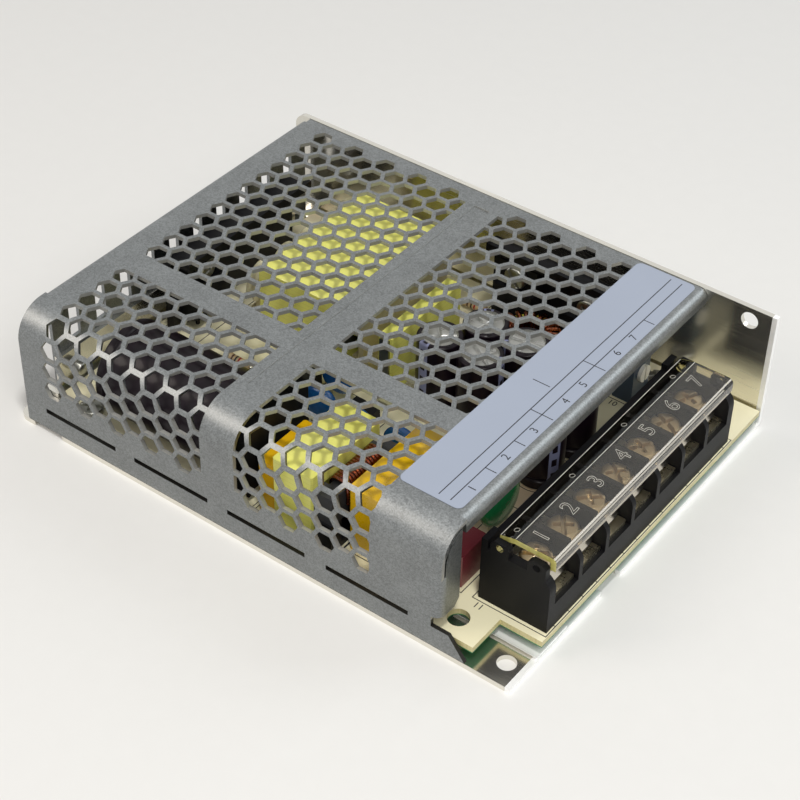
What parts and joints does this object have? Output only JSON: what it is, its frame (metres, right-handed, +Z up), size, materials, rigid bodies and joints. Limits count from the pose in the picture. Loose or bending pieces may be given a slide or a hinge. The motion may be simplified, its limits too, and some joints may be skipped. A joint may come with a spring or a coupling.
{
  "type": "mesh case switching power supply",
  "caption": "Low open-frame style power supply: a bright folded chassis under a grey hexagon mesh cover, with a screw terminal block and a hinged clear lid at one end.",
  "frame": {"origin": "middle of the case's footprint, on the underside of the chassis plate", "axes": "+X towards the terminal end, +Y towards the chassis's upright wall, +Z up"},
  "size_m": [0.129, 0.097, 0.03],
  "materials": {
    "chassis_metal": "bright rolled sheet with a soft mirror shine and fine scratches",
    "cover_metal": "matt grey galvanised sheet with a fine spangle",
    "label": "pale blue-grey film with thin black rules, no lettering",
    "board": "cream printed circuit board",
    "insulation": "thin milky insulating sheet",
    "steel": "zinc plated steel",
    "nickel": "nickel plated screws and clamp plates",
    "brass": "tinned brass contacts",
    "black_plastic": "black moulded thermoplastic",
    "clear_plastic": "clear moulded plastic",
    "ferrite": "dark grey sintered ferrite",
    "yellow_tape": "lemon yellow polyester tape",
    "cream_plastic": "cream moulded plastic",
    "can_sleeve": "dark shrink sleeve",
    "orange_box": "orange-yellow moulded box",
    "blue_epoxy": "blue dipped epoxy",
    "green_epoxy": "green dipped epoxy",
    "fuse_sleeve": "dark red moulded box",
    "copper": "enamelled copper wire",
    "black_anodised": "dark anodised aluminium plate",
    "package": "black moulding compound",
    "trimmer_blue": "dark blue-grey moulded plastic",
    "white_plastic": "white moulded plastic"
  },
  "bodies": {
    "case": {"chassis": "chassis_metal", "cover": "cover_metal", "label": "label", "board": "board", "insulation_sheet": "insulation", "standoffs": "steel", "board_screws": "steel", "cover_screws": "steel", "terminal_block": "black_plastic", "terminal_contacts": "brass", "terminal_clamps": "nickel", "terminal_screws": "nickel", "transformer_core": "ferrite", "transformer_winding": "yellow_tape", "transformer_tape": "yellow_tape", "transformer_bobbin": "cream_plastic", "bulk_capacitor": "can_sleeve", "x_capacitor": "orange_box", "small_x_capacitor": "orange_box", "varistor": "green_epoxy", "fuse": "fuse_sleeve", "line_choke_core": "ferrite", "line_choke_sleeve": "yellow_tape", "line_choke_winding": "copper", "line_choke_base": "black_plastic", "primary_heatsink": "black_anodised", "output_heatsink": "black_anodised", "primary_transistor": "package", "output_rectifier_1": "package", "output_rectifier_2": "package", "sink_screws": "steel", "bridge_rectifier": "package", "shield_bar": "steel", "shield_tape": "yellow_tape", "output_choke_core": "ferrite", "output_choke_winding": "copper", "optocoupler_1": "package", "optocoupler_2": "package", "controller": "package", "resistors": "cream_plastic", "trimmer_body": "trimmer_blue", "output_capacitor_1": "can_sleeve", "output_capacitor_2": "can_sleeve", "output_capacitor_3": "can_sleeve", "output_capacitor_4": "can_sleeve", "output_capacitor_5": "can_sleeve", "output_capacitor_6": "can_sleeve", "disc_capacitor_1": "blue_epoxy", "disc_capacitor_2": "blue_epoxy", "disc_capacitor_3": "blue_epoxy", "disc_capacitor_4": "blue_epoxy"},
    "lid": {"terminal_lid": "clear_plastic"},
    "trimmer": {"trimmer_rotor": "white_plastic"}
  },
  "joints": [
    {"name": "lid_hinge", "type": "hinge", "parent": "case", "child": "lid", "pos_m": [0.0522, 0, 0.0206], "axis": [0, -1, 0], "range_deg": [0, 100]},
    {"name": "trimmer_turn", "type": "hinge", "parent": "case", "child": "trimmer", "pos_m": [0.0412, 0.0349, 0.012], "axis": [1, 0, 0], "range_deg": [-135, 135]}
  ]
}
